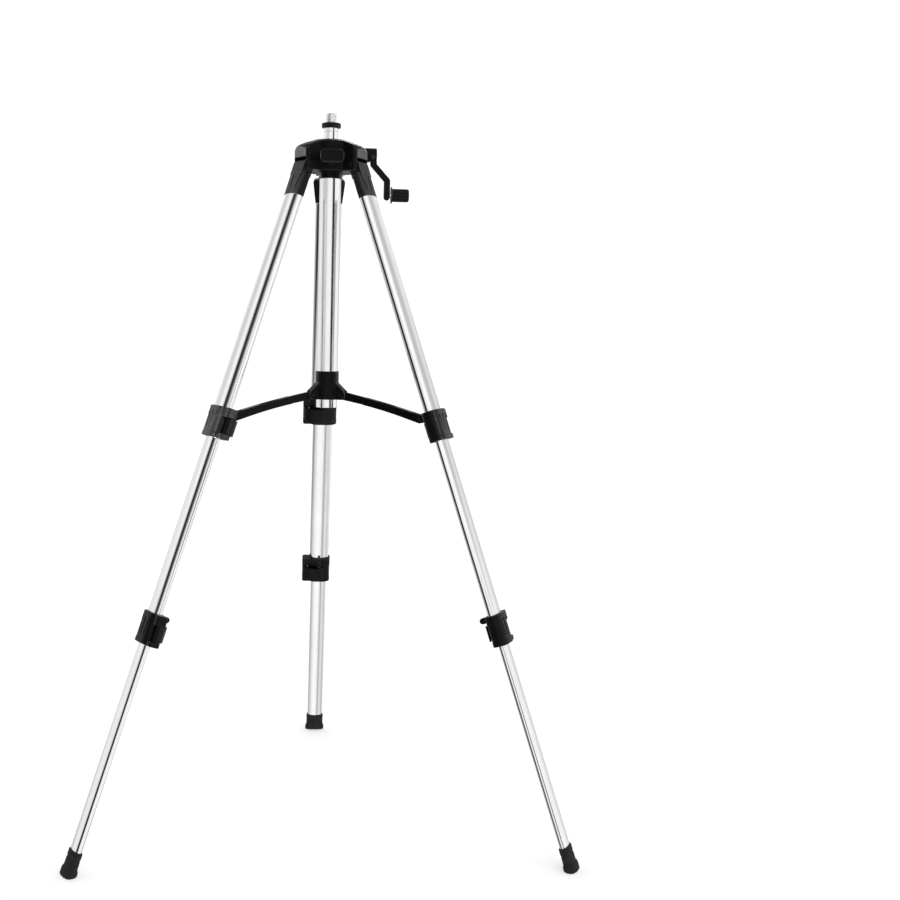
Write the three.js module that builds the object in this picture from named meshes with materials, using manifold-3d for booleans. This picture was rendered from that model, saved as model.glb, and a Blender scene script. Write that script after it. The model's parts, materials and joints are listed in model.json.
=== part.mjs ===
// Three-legged elevating level tripod, standing deployed on its feet.
// Units are millimetres, +Z is up, and the feet stand on z = 0.
// Each leg is built in its own frame: origin on the leg hinge pin, x outward, y along the pin, z up the leg.
import * as THREE from 'three';
import { mergeVertices } from 'three/addons/utils/BufferGeometryUtils.js';
import Module from 'manifold-3d';

const wasm = await Module();
wasm.setup();

// ---- driving dimensions ----
const legAzimuths = [90, 210, 330];
const legSpread = THREE.MathUtils.degToRad(20);
const hingeRadius = 47;
const hingeHeight = 1008;
const legLength = hingeHeight / Math.cos(legSpread);
const gap = 0.3;

const tongueWidth = 33;
const tongueRadius = 8.5;
const blockTop = 12;
const blockBottom = 48.5;
const blockPlan = { width: 50, depth: 20, squareness: 1.8 };
const blockShoulder = 24.6;
const legPinRadius = 3;

const upperTube = { width: 41, depth: 18.8, wall: 1.5 };
const middleTube = { width: 33, depth: 15.2, wall: 1.3 };
const lowerTube = { width: 27, depth: 11.8, wall: 1.2 };
const tubeSquareness = 2.3;
const ovalSteps = 20;
const roundSteps = 24;
const pinSteps = 10;

const lockHeight = 45.5;
const lockTopBand = 14;
const lockBottomBand = 7.5;
const upperLock = { top: 379.5, width: 46, depth: 27, enters: upperTube, leaves: middleTube };
const lowerLock = { top: 690, width: 38.5, depth: 24, enters: middleTube, leaves: lowerTube };
const lockSocket = 17.5;
const leverBarrelRadius = 4.4;
const leverBarrelX = -2;
const leverTrunnionRadius = 2;
const leverHousingReach = 10.4;
const lugHeight = 9;
const lugWidth = 6;

const middleTubeTop = 345;
const lowerTubeTop = 655;
const footTop = 1037.5;
const footLip = 1063;
const footSleeve = { width: 31, depth: 15.6 };
const footFlare = { width: 35, depth: 19 };

const bracePinAlong = 385.5;
const bracePinInward = 22;
const bracePinRadius = 2.2;
const hubPivotRadius = 27;
const hubPivotHeight = 667;
const linkHalfWidth = 3;
const cheekInner = 3.4;
const cheekOuter = 5.9;
const linkReach = 60;
const forkReach = 38;
const forkDepth = 90;

const hubTop = 703.5;
const hubShoulder = 684;
const hubBottom = 660.4;
const hubOuter = 17.8;
const hubCore = 19.8;

const tubeOuter = 16.1;
const tubeWall = 1.6;
const tubeBottom = 648;
const tubeTop = 1006;

const headTop = 1048;
const neckBottom = 991.5;
const neckRadius = 17.8;
const headRadius = 37.5;
const yokeReach = 53;
const yokeHalfWidth = 21;
const archUnderside = 1019.5;
const cheekBottom = 1001;

const columnRadius = 10.5;
const columnBore = 10.9;
const columnTop = 1060.5;
const columnBottom = 686.3;
const seatHeight = 1066.5;
const studRadius = 7.94;
const studTop = 1088;
const ringRadius = 14.5;
const ringThickness = 7;

const gearModule = 1;
const pinionTeeth = 12;
const rackTipLine = 10.15;
const pinionOffset = 15.5;
const crankHeight = 1030.3;
const rackPitch = Math.PI * gearModule;
const rackTeeth = 76;

const knobHeight = 1018.8;
const gripDrop = 58.8;

// ---- materials ----
function surface(color, roughness, metalness) {
  return new THREE.MeshStandardMaterial({ color, roughness, metalness });
}
const aluminium = surface(0xd9dadd, 0.32, 0.9);
const steel = surface(0xc9cbce, 0.25, 1.0);
const blackPlastic = surface(0x25262a, 0.5, 0.0);
const darkPlastic = surface(0x18191b, 0.42, 0.0);
const rubber = surface(0x1d1e20, 0.85, 0.0);
const nylon = surface(0xe7e3d8, 0.6, 0.0);
const blackSteel = surface(0x1b1c1e, 0.4, 0.6);

// ---- solids ----
function solid(geometry) {
  const bare = geometry.clone();
  bare.deleteAttribute('normal');
  bare.deleteAttribute('uv');
  const merged = mergeVertices(bare, 1e-4);
  return new wasm.Manifold(new wasm.Mesh({
    numProp: 3,
    vertProperties: new Float32Array(merged.attributes.position.array),
    triVerts: new Uint32Array(merged.index.array),
  }));
}

function toGeometry(manifold) {
  const mesh = manifold.getMesh();
  const geometry = new THREE.BufferGeometry();
  geometry.setAttribute('position', new THREE.BufferAttribute(new Float32Array(mesh.vertProperties), 3));
  geometry.setIndex(new THREE.BufferAttribute(new Uint32Array(mesh.triVerts), 1));
  geometry.computeVertexNormals();
  return geometry;
}

function joined(parts) {
  return parts.reduce((whole, piece) => whole.add(piece));
}

function cut(body, tools) {
  return tools.reduce((rest, tool) => rest.subtract(tool), body);
}

// ---- outlines ----
function shapeOf(points) {
  return new THREE.Shape(points.map(([a, b]) => new THREE.Vector2(a, b)));
}

function superellipse(width, depth, power, steps) {
  const points = [];
  for (let i = 0; i < steps; i += 1) {
    const angle = (2 * Math.PI * i) / steps;
    const c = Math.cos(angle);
    const s = Math.sin(angle);
    points.push([
      (depth / 2) * Math.sign(c) * Math.abs(c) ** (2 / power),
      (width / 2) * Math.sign(s) * Math.abs(s) ** (2 / power),
    ]);
  }
  return points;
}

function arcPoints(cx, cy, radius, fromDegrees, toDegrees, steps) {
  const points = [];
  for (let i = 0; i <= steps; i += 1) {
    const angle = THREE.MathUtils.degToRad(fromDegrees + ((toDegrees - fromDegrees) * i) / steps);
    points.push([cx + radius * Math.cos(angle), cy + radius * Math.sin(angle)]);
  }
  return points;
}

function roundedRect(x0, x1, y0, y1, radius, steps = 3) {
  return [
    ...arcPoints(x1 - radius, y1 - radius, radius, 0, 90, steps),
    ...arcPoints(x0 + radius, y1 - radius, radius, 90, 180, steps),
    ...arcPoints(x0 + radius, y0 + radius, radius, 180, 270, steps),
    ...arcPoints(x1 - radius, y0 + radius, radius, 270, 360, steps),
  ];
}

// ---- prisms and rods along each axis ----
function extruded(points, length) {
  return new THREE.ExtrudeGeometry(shapeOf(points), { depth: length, bevelEnabled: false, steps: 1 });
}

function prismZ(points, z0, z1) {
  return solid(extruded(points, z1 - z0).translate(0, 0, z0));
}

function prismY(points, y0, y1) {
  return solid(extruded(points, y1 - y0).rotateX(Math.PI / 2).translate(0, y1, 0));
}

function prismX(points, x0, x1) {
  const turn = new THREE.Matrix4().makeBasis(
    new THREE.Vector3(0, 1, 0), new THREE.Vector3(0, 0, 1), new THREE.Vector3(1, 0, 0));
  return solid(extruded(points, x1 - x0).applyMatrix4(turn).translate(x0, 0, 0));
}

function rodZ(radius, z0, z1, x = 0, y = 0, steps = roundSteps) {
  const geometry = new THREE.CylinderGeometry(radius, radius, z1 - z0, steps);
  return solid(geometry.rotateX(Math.PI / 2).translate(x, y, (z0 + z1) / 2));
}

function rodY(radius, y0, y1, x = 0, z = 0, steps = pinSteps) {
  const geometry = new THREE.CylinderGeometry(radius, radius, y1 - y0, steps);
  return solid(geometry.translate(x, (y0 + y1) / 2, z));
}

function rodX(radius, x0, x1, y = 0, z = 0, steps = pinSteps) {
  const geometry = new THREE.CylinderGeometry(radius, radius, x1 - x0, steps);
  return solid(geometry.rotateZ(-Math.PI / 2).translate((x0 + x1) / 2, y, z));
}

function block(x0, x1, y0, y1, z0, z1) {
  const geometry = new THREE.BoxGeometry(x1 - x0, y1 - y0, z1 - z0);
  return solid(geometry.translate((x0 + x1) / 2, (y0 + y1) / 2, (z0 + z1) / 2));
}

function turned(profile, steps = roundSteps) {
  const geometry = new THREE.LatheGeometry(profile.map(([r, z]) => new THREE.Vector2(r, z)), steps);
  return solid(geometry.rotateX(Math.PI / 2));
}

function ovalPrism(section, extra, z0, z1) {
  const outline = superellipse(section.width + extra, section.depth + extra, tubeSquareness, ovalSteps);
  return prismZ(outline, z0, z1);
}

function sectionInside(section) {
  return { width: section.width - 2 * section.wall, depth: section.depth - 2 * section.wall };
}

// ---- leg parts, in the leg frame ----
// Slots that draw together towards their lower ends, on the curved outer face of a block or lock.
function convergingGrooves(surfaceAt, top, spread, width, length) {
  return [-1, 0, 1].map((side) => {
    const groove = new THREE.BoxGeometry(3, width, length);
    groove.translate(1.5, 0, 0).rotateX(side * spread.lean).rotateZ(side * spread.turn);
    groove.translate(surfaceAt(side * spread.offset) - spread.depth, side * spread.offset, top - length / 2);
    return solid(groove);
  });
}

// The outer face of an oval plan: how far out it lies at each place across its width.
function onPlan(plan) {
  const power = plan.squareness;
  return (y) => (plan.depth / 2) * (1 - Math.abs((2 * y) / plan.width) ** power) ** (1 / power);
}

function legBlock() {
  const neckTop = -blockTop - 6;
  const tongue = prismY(
    [[-tongueRadius, neckTop], [tongueRadius, neckTop], ...arcPoints(0, 0, tongueRadius, 0, 180, 8)],
    -tongueWidth / 2, tongueWidth / 2);
  const front = [
    [-upperTube.width / 2 - 0.4, -blockBottom],
    [upperTube.width / 2 + 0.4, -blockBottom],
    [blockShoulder, neckTop],
    [blockShoulder - 0.4, neckTop + 3.5],
    [blockShoulder - 3.1, -blockTop],
    [-blockShoulder + 3.1, -blockTop],
    [-blockShoulder + 0.4, neckTop + 3.5],
    [-blockShoulder, neckTop],
  ];
  const outline = superellipse(blockPlan.width, blockPlan.depth, blockPlan.squareness, ovalSteps);
  const plan = prismZ(outline, -blockBottom - 1, -blockTop + 1);
  const body = prismX(front, -blockPlan.depth, blockPlan.depth).intersect(plan);
  const plug = ovalPrism(sectionInside(upperTube), -2 * gap, -blockBottom - 18, -blockBottom + 1);
  const spread = { offset: 13, lean: -0.3, turn: -0.42, depth: 0.9 };
  return cut(joined([tongue, body, plug]), [
    rodY(legPinRadius + gap, -30, 30),
    ...convergingGrooves(onPlan(blockPlan), neckTop - 2, spread, 2.6, 22),
  ]);
}

function ovalTube(section, sTop, sBottom) {
  const outer = ovalPrism(section, 0, -sBottom, -sTop);
  const inner = ovalPrism(sectionInside(section), 0, -sBottom - 1, -sTop + 1);
  return outer.subtract(inner);
}

function leverBarrelY(lock) {
  return lock.width / 2 + 5.5;
}

function lockBody(lock) {
  const top = -lock.top;
  const bottom = -lock.top - lockHeight;
  const barrelY = leverBarrelY(lock);
  const plan = { width: lock.width, depth: lock.depth, squareness: 2.7 };
  const shell = prismZ(superellipse(plan.width, plan.depth, plan.squareness, ovalSteps), bottom, top);
  const housingPlan = roundedRect(-9.5, 7.5, 8, barrelY + 4.9, 4.2);
  const topBand = prismZ(housingPlan, top - lockTopBand, top);
  const bottomBand = prismZ(housingPlan, bottom, bottom + lockBottomBand);
  const lugZ = -bracePinAlong + upperLock.top - lock.top;
  const lugPivotX = -(lock.depth / 2 + 8.5);
  const lugSide = [
    [-5, lugZ - lugHeight / 2],
    [-5, lugZ + lugHeight / 2],
    ...arcPoints(lugPivotX, lugZ, lugHeight / 2, 90, 270, 6),
  ];
  const lug = prismY(lugSide, -lugWidth / 2, lugWidth / 2);
  const spread = { offset: 8, lean: -0.17, turn: -0.12, depth: 0.9 };
  const tools = [
    ovalPrism(lock.enters, 2 * gap, top - lockSocket, top + 1),
    ovalPrism(lock.leaves, 2 * gap, bottom - 1, top - lockSocket + 1),
    rodZ(leverTrunnionRadius + gap, bottom + 2.5, top - 6, leverBarrelX, barrelY, pinSteps),
    rodY(bracePinRadius + gap, -10, 10, lugPivotX, lugZ),
    ...convergingGrooves(onPlan(plan), top - 10, spread, 1.7, 24),
  ];
  return cut(joined([shell, topBand, bottomBand, lug]), tools);
}

function lockLever(lock) {
  const top = -lock.top - lockTopBand - gap;
  const bottom = -lock.top - lockHeight + lockBottomBand + gap;
  const by = leverBarrelY(lock);
  const deep = lock.depth / 2;
  const flapPlan = [
    [leverBarrelX, by + leverBarrelRadius],
    [-7, by + 4],
    [-deep + 0.5, by + 0.5],
    [-deep - 4.5, by - 6],
    [-deep - 7.4, by - 14],
    [-deep - 7.6, by - 21],
    [-deep - 6.2, by - 28],
    [-deep - 4.2, by - 32],
    [-deep - 2.6, by - 31],
    [-deep - 4, by - 27],
    [-deep - 4.8, by - 21],
    [-deep - 4.4, by - 14.5],
    [-deep - 2, by - 8.5],
    [-deep + 1.5, by - 3.8],
    [-7.2, by - 1.6],
    [-4, by - 2.5],
  ];
  const flap = prismZ(flapPlan, bottom, top);
  const barrel = rodZ(leverBarrelRadius, bottom, top, leverBarrelX, by, 12);
  const trunnion = rodZ(leverTrunnionRadius, bottom - 4, top + 6, leverBarrelX, by, pinSteps);
  return joined([flap, barrel, trunnion]);
}

function foot() {
  const bottom = -legLength - 12;
  const sleeve = ovalPrism(footSleeve, 0, bottom, -footTop);
  const flare = ovalPrism(footFlare, 0, bottom, -footLip);
  const ringGroove = ovalPrism(footSleeve, 4, -1049.8, -1048.6)
    .subtract(ovalPrism(footSleeve, -1, -1051, -1047));
  const floor = new THREE.BoxGeometry(200, 200, 60);
  floor.translate(0, 0, -30).rotateY(legSpread).translate(0, 0, -legLength);
  return cut(joined([sleeve, flare]), [
    ringGroove,
    solid(floor),
    ovalPrism(lowerTube, 2 * gap, -footLip + 2, -footTop + 1),
  ]);
}

// ---- spreader brace ----
// Its frame has its origin on the leg pin, the hub's pivot at x = -braceLength, and z on the upper side.
const legPivot = {
  r: hingeRadius + bracePinAlong * Math.sin(legSpread) - bracePinInward * Math.cos(legSpread),
  z: hingeHeight - bracePinAlong * Math.cos(legSpread) - bracePinInward * Math.sin(legSpread),
};
const braceLength = Math.hypot(legPivot.r - hubPivotRadius, hubPivotHeight - legPivot.z);
const braceAngle = Math.atan2(legPivot.r - hubPivotRadius, hubPivotHeight - legPivot.z);

function braceEdges(from, to) {
  const upper = [];
  const lower = [];
  const steps = 6;
  for (let i = 0; i <= steps; i += 1) {
    const t = from + ((to - from) * i) / steps;
    const bow = Math.sin((Math.PI * t) / braceLength);
    upper.push([-t, 6.2 + 1.4 * bow]);
    lower.push([-t, -6.4 + 2.8 * bow]);
  }
  return { upper, lower };
}

function braceArm() {
  const { upper, lower } = braceEdges(0, braceLength - forkReach);
  const side = [...upper.reverse(), ...arcPoints(0, 0, 6.3, 80, -80, 6), ...lower];
  return cut(prismY(side, -cheekOuter, cheekOuter), [
    block(-14, 12, -cheekInner, cheekInner, -20, 20),
    block(-braceLength, forkDepth - braceLength, -cheekInner, cheekInner, -20, 20),
    rodY(bracePinRadius + gap, -10, 10),
  ]);
}

function braceLink() {
  const { upper, lower } = braceEdges(braceLength - linkReach, braceLength);
  const side = [...upper, ...arcPoints(-braceLength, 0, 6.2, 100, 260, 6), ...lower.reverse()];
  return prismY(side, -linkHalfWidth, linkHalfWidth)
    .subtract(rodY(bracePinRadius + gap, -10, 10, -braceLength, 0));
}

// ---- spreader hub, in the object frame ----
function hub() {
  const core = turned([
    [tubeOuter + 0.35, hubBottom],
    [hubCore, hubBottom],
    [hubCore, hubShoulder - 3],
    [hubOuter, hubShoulder],
    [hubOuter, hubTop - 0.8],
    [hubOuter - 0.8, hubTop],
    [tubeOuter + 0.35, hubTop],
    [tubeOuter + 0.35, hubBottom],
  ]);
  const bodies = [core];
  const slots = [];
  for (const azimuth of legAzimuths) {
    const ear = [
      [17.2, hubBottom],
      ...arcPoints(hubPivotRadius, hubPivotHeight, hubPivotHeight - hubBottom, -90, 35, 5),
      [hubPivotRadius + 5, hubPivotHeight + 6.5],
      [hubPivotRadius + 2, hubPivotHeight + 8.8],
      [17.2, hubShoulder + 1.5],
    ];
    const place = [0, 0, azimuth];
    bodies.push(prismY(ear, -cheekOuter - 0.6, cheekOuter + 0.6).rotate(place));
    slots.push(block(20.2, 50, -cheekInner, cheekInner, hubBottom - 5, hubPivotHeight + 7).rotate(place));
    slots.push(rodY(bracePinRadius + gap, -10, 10, hubPivotRadius, hubPivotHeight).rotate(place));
  }
  const bore = rodZ(tubeOuter + 0.35, hubBottom - 5, hubTop + 5);
  return cut(joined(bodies), [...slots, bore]);
}

// ---- head and column, in the object frame ----
function headCasting() {
  const dome = turned([
    [0, archUnderside],
    [60, archUnderside],
    [60, headTop - 12.5],
    [yokeReach, headTop - 9.2],
    [40, headTop - 4.6],
    [27, headTop - 0.8],
    [24, headTop],
    [0, headTop],
  ], 30);
  const yokePlan = roundedRect(5, yokeReach, -yokeHalfWidth, yokeHalfWidth, 5.5);
  const cheekSide = [
    [20, cheekBottom],
    ...arcPoints(yokeReach - 3, cheekBottom + 2.5, 2.5, -90, 0, 4),
    [yokeReach - 0.5, archUnderside + 2],
    [20, archUnderside + 2],
  ];
  const plans = [prismZ(arcPoints(0, 0, headRadius, 0, 348, 29), archUnderside - 1, headTop + 1)];
  const cheeks = [];
  const yokeTools = [];
  for (const azimuth of legAzimuths) {
    const place = [0, 0, azimuth];
    plans.push(prismZ(yokePlan, archUnderside - 1, headTop + 1).rotate(place));
    const rounded = prismZ(yokePlan, cheekBottom - 1, archUnderside + 1.5);
    cheeks.push(prismY(cheekSide, -yokeHalfWidth, yokeHalfWidth).intersect(rounded).rotate(place));
    const slot = block(hingeRadius - tongueRadius - 0.9, 70, -tongueWidth / 2 - gap, tongueWidth / 2 + gap,
      neckBottom, archUnderside);
    yokeTools.push(slot.rotate(place));
    yokeTools.push(rodY(legPinRadius + gap, -40, 40, hingeRadius, hingeHeight).rotate(place));
  }
  const lower = rodZ(headRadius, cheekBottom, archUnderside + 1, 0, 0, 30);
  const neck = rodZ(neckRadius, neckBottom, cheekBottom + 1);
  const knobBoss = rodY(10.5, -44.5, -25, 0, knobHeight, 16);
  const crankBoss = rodX(10.2, 20, 50, pinionOffset, crankHeight, 16);
  return cut(joined([dome.intersect(joined(plans)), ...cheeks, lower, neck, knobBoss, crankBoss]), [
    rodZ(tubeOuter + gap, neckBottom - 5, tubeTop + 0.4),
    rodZ(columnBore, neckBottom, headTop + 5),
    rodX(7.6, -5.4, 60, pinionOffset, crankHeight, 16),
    rodX(3.8, -15, 0, pinionOffset, crankHeight),
    rodY(3.8, -60, -12, 0, knobHeight),
    rodY(4.9, -17, -8, 0, knobHeight),
    ...yokeTools,
  ]);
}

function roundTube(radius, wall, z0, z1) {
  return rodZ(radius, z0, z1).subtract(rodZ(radius - wall, z0 - 1, z1 + 1));
}

function columnTube() {
  const slot = block(-2.8, 2.8, 0, 20, 806, 1056);
  return roundTube(columnRadius, 1.5, columnBottom, columnTop).subtract(slot);
}

function columnRack() {
  const root = rackTipLine - 1.8;
  const centre = crankHeight;
  const points = [];
  const first = -Math.round(rackTeeth * 0.925);
  for (let i = 0; i < rackTeeth; i += 1) {
    const z = centre + (first + i) * rackPitch;
    points.push([root, z - 1.05], [rackTipLine, z - 0.42], [rackTipLine, z + 0.42], [root, z + 1.05]);
  }
  const zLow = points[0][1] - 2;
  const zHigh = points[points.length - 1][1] + 1;
  const side = [[5.8, zLow], [root, zLow], ...points, [root, zHigh], [5.8, zHigh]];
  return prismX(side, -2.5, 2.5);
}

function columnEndPlug() {
  return turned([
    [0, columnBottom - 8.3],
    [13.1, columnBottom - 8.3],
    [13.9, columnBottom - 7.5],
    [13.9, columnBottom - 1.1],
    [13.1, columnBottom - 0.3],
    [8.7, columnBottom - 0.3],
    [8.7, columnBottom + 12],
    [0, columnBottom + 12],
  ]);
}

function tubeEndPlug() {
  return turned([
    [0, tubeBottom + 1],
    [14.1, tubeBottom + 1],
    [14.1, tubeBottom + 9],
    [0, tubeBottom + 9],
  ]);
}

function mountStud() {
  const stud = turned([
    [0, columnTop - 13.5],
    [8.7, columnTop - 13.5],
    [8.7, columnTop + 0.3],
    [columnRadius, columnTop + 0.3],
    [columnRadius, seatHeight - 0.3],
    [studRadius, seatHeight - 0.3],
    [studRadius, studTop - 1.4],
    [studRadius - 1.4, studTop],
    [0, studTop],
  ]);
  return stud.subtract(block(-10, 10, 5.2, 20, columnTop - 20, columnTop + 0.3));
}

function studRing() {
  return turned([
    [studRadius + gap, seatHeight],
    [ringRadius - 0.8, seatHeight],
    [ringRadius, seatHeight + 0.8],
    [ringRadius, seatHeight + ringThickness - 1],
    [ringRadius - 1, seatHeight + ringThickness],
    [studRadius + gap, seatHeight + ringThickness],
    [studRadius + gap, seatHeight],
  ]);
}

function pinionShaft() {
  const base = 5.64;
  const tip = 6.9;
  const root = 4.5;
  const points = [];
  for (let i = 0; i < pinionTeeth; i += 1) {
    const mid = (360 * (i + 0.5)) / pinionTeeth;
    for (const [radius, half] of [[root, 9.2], [base, 8.2], [6.05, 6.1], [tip, 2.6]]) {
      points.push([radius, mid - half]);
    }
    for (const [radius, half] of [[tip, 2.6], [6.05, 6.1], [base, 8.2], [root, 9.2]]) {
      points.push([radius, mid + half]);
    }
  }
  const outline = points.map(([radius, degrees]) => {
    const angle = THREE.MathUtils.degToRad(degrees);
    return [-radius * Math.cos(angle), radius * Math.sin(angle)];
  });
  const gear = prismX(outline.reverse(), -2.4, 2.4);
  const bearing = rodX(3.4, -14, 8);
  const journal = rodX(7.2, 7.4, 46.5, 0, 0, 16);
  const neck = rodX(4.2, 40, 57);
  return joined([gear, bearing, journal, neck]);
}

// ---- crank pieces, in the crank frame: origin on the crank axis, x outward along it ----
const foldPin = { x: 64.5, z: -3.5 };

function crankHub() {
  return cut(rodX(10.6, 50.6, 70, 0, 0, 16), [
    rodX(4.5, 40, 57.4),
    block(58.4, 75, -4.8, 4.8, -15, 6.2),
    rodY(2.3, -12, 12, foldPin.x, foldPin.z),
  ]);
}

function crankArm() {
  const half = 4.75;
  const side = [
    ...arcPoints(foldPin.x, foldPin.z, 5.2, 5, 185, 8),
    [60.9, -15.8],
    [81.75, -38.6],
    [81.75, -gripDrop - 3],
    ...arcPoints(86.5, -gripDrop - 3.2, half, 190, 350, 7),
    [91.25, -gripDrop - 3],
    [91.25, -37.2],
    [89.8, -34.2],
    [70.6, -13.4],
  ];
  return cut(prismY(side, -4.5, 4.5), [
    rodY(2.3, -12, 12, foldPin.x, foldPin.z),
    rodX(2.3, 86.2, 95, 0, -gripDrop),
  ]);
}

function crankGrip() {
  const ribs = 10;
  const outline = [];
  for (let i = 0; i < ribs; i += 1) {
    for (const [part, radius] of [[0, 9.9], [0.35, 9.9], [0.5, 9.1], [0.85, 9.1]]) {
      const angle = (2 * Math.PI * (i + part)) / ribs;
      outline.push([radius * Math.cos(angle), radius * Math.sin(angle)]);
    }
  }
  const body = prismX(outline, 93, 119.3);
  const flange = rodX(12.6, 92.6, 94.4, 0, 0, 20);
  const cap = rodX(9.1, 119, 120.2, 0, 0, 20);
  return joined([body, flange, cap]).subtract(rodX(2.4, 90, 117.4)).translate([0, 0, -gripDrop]);
}

function lockKnob() {
  const wing = prismY(roundedRect(-17.2, 17.2, -9.2, 9.2, 6.2, 4), -66, -50);
  const neck = rodY(7.5, -51, -45.2, 0, 0, 16);
  const screw = rodY(3.4, -46, -16);
  return joined([wing, neck, screw]);
}

// ---- assembly ----
const tripod = new THREE.Group();

function addMesh(parent, name, manifold, material) {
  const mesh = new THREE.Mesh(toGeometry(manifold), material);
  mesh.name = name;
  parent.add(mesh);
  return mesh;
}

addMesh(tripod, 'head_casting', headCasting(), blackPlastic);
addMesh(tripod, 'centre_tube', roundTube(tubeOuter, tubeWall, tubeBottom, tubeTop), aluminium);
addMesh(tripod, 'tube_end_plug', tubeEndPlug(), darkPlastic);
addMesh(tripod, 'column_tube', columnTube(), aluminium);
addMesh(tripod, 'column_rack', columnRack(), nylon);
addMesh(tripod, 'column_end_plug', columnEndPlug(), darkPlastic);
addMesh(tripod, 'mount_stud', mountStud(), steel);
addMesh(tripod, 'stud_ring', studRing(), blackSteel);
addMesh(tripod, 'brake_pad', rodY(4.4, -15.5, -11.2, 0, knobHeight), nylon);
addMesh(tripod, 'lock_knob', lockKnob(), darkPlastic).position.set(0, 0, knobHeight);
addMesh(tripod, 'spreader_hub', hub(), blackPlastic);

const crank = new THREE.Group();
crank.position.set(0, pinionOffset, crankHeight);
tripod.add(crank);
addMesh(crank, 'pinion_shaft', pinionShaft(), steel);
addMesh(crank, 'crank_hub', crankHub(), blackPlastic);
addMesh(crank, 'crank_fold_pin', rodY(2, -8.8, 8.8, foldPin.x, foldPin.z), blackSteel);
addMesh(crank, 'crank_arm', crankArm(), darkPlastic);
addMesh(crank, 'grip_axle', rodX(2, 86.5, 117, 0, -gripDrop), steel);
addMesh(crank, 'crank_grip', crankGrip(), blackPlastic);

legAzimuths.forEach((azimuth, index) => {
  const prefix = `leg_${index + 1}_`;
  const upright = new THREE.Group();
  upright.rotation.z = THREE.MathUtils.degToRad(azimuth);
  tripod.add(upright);

  const leg = new THREE.Group();
  leg.position.set(hingeRadius, 0, hingeHeight);
  leg.rotation.y = -legSpread;
  upright.add(leg);
  addMesh(leg, `${prefix}pin`, rodY(legPinRadius, -20.4, 20.4), blackSteel);
  addMesh(leg, `${prefix}block`, legBlock(), blackPlastic);
  const upperEnd = upperLock.top + lockSocket - gap;
  addMesh(leg, `${prefix}upper_tube`, ovalTube(upperTube, blockBottom + gap, upperEnd), aluminium);
  addMesh(leg, `${prefix}upper_lock`, lockBody(upperLock), blackPlastic);
  addMesh(leg, `${prefix}upper_lever`, lockLever(upperLock), darkPlastic);
  const middleEnd = lowerLock.top + lockSocket - gap;
  addMesh(leg, `${prefix}middle_tube`, ovalTube(middleTube, middleTubeTop, middleEnd), aluminium);
  addMesh(leg, `${prefix}lower_lock`, lockBody(lowerLock), blackPlastic);
  addMesh(leg, `${prefix}lower_lever`, lockLever(lowerLock), darkPlastic);
  addMesh(leg, `${prefix}lower_tube`, ovalTube(lowerTube, lowerTubeTop, footLip - 2.4), aluminium);
  addMesh(leg, `${prefix}foot`, foot(), rubber);
  const bracePin = rodY(bracePinRadius, -cheekOuter, cheekOuter, -bracePinInward, -bracePinAlong);
  addMesh(leg, `${prefix}brace_pin`, bracePin, blackSteel);

  const brace = new THREE.Group();
  brace.position.set(legPivot.r, 0, legPivot.z);
  brace.rotation.y = Math.PI / 2 - braceAngle;
  upright.add(brace);
  addMesh(brace, `${prefix}brace_arm`, braceArm(), darkPlastic);
  addMesh(brace, `${prefix}brace_link`, braceLink(), darkPlastic);
  const hubPin = rodY(bracePinRadius, -6.2, 6.2, hubPivotRadius, hubPivotHeight);
  addMesh(upright, `${prefix}hub_pin`, hubPin, blackSteel);
});

const assembly = new THREE.Group();
assembly.add(tripod);
assembly.updateMatrixWorld(true);
const extent = new THREE.Box3().setFromObject(assembly, true);
tripod.position.set(-(extent.min.x + extent.max.x) / 2, -(extent.min.y + extent.max.y) / 2, -extent.min.z);

export default assembly;
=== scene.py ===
"""Studio picture of a laser level tripod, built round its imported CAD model.

Shapes are drawn in millimetres, each in its own frame, and placed in the row frame in metres.
A leg's frame has its origin on the hinge pin, x outward, y along the pin and z up the leg.
"""
import json
import math

import bmesh
import bpy
import numpy as np
from mathutils import Matrix, Vector

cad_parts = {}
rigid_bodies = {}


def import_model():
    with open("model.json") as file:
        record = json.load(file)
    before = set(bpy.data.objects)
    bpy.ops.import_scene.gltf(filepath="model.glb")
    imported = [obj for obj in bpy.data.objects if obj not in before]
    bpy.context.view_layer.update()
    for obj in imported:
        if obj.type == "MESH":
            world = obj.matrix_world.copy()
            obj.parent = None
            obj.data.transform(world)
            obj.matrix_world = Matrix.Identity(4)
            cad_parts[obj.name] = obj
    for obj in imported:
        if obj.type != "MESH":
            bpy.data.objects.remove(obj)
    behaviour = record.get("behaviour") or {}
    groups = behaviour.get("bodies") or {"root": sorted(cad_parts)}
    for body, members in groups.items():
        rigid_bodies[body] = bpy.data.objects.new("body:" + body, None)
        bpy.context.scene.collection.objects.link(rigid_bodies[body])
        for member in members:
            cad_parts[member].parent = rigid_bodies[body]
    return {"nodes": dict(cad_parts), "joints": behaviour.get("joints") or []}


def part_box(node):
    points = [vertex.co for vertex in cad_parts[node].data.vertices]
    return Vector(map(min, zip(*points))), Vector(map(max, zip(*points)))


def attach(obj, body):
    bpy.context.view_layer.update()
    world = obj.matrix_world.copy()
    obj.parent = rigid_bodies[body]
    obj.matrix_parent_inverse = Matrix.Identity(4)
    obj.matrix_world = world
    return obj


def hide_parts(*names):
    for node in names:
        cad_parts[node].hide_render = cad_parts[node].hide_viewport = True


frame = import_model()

MM = 0.001
LEGS = (1, 2, 3)
JOINTS = {joint["name"]: joint for joint in frame["joints"]}
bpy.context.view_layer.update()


# ---- frames taken from the CAD model ----
def joint_at(name):
    """A joint's place in the row frame, in metres."""
    return Vector(JOINTS[name]["pos_m"])


def placed(origin, x, y, z):
    """The matrix that puts a piece drawn on the axes x, y and z at origin, which is in metres."""
    turn = Matrix((x, y, z)).transposed().to_4x4()
    return Matrix.Translation(Vector(origin)) @ turn


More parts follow.
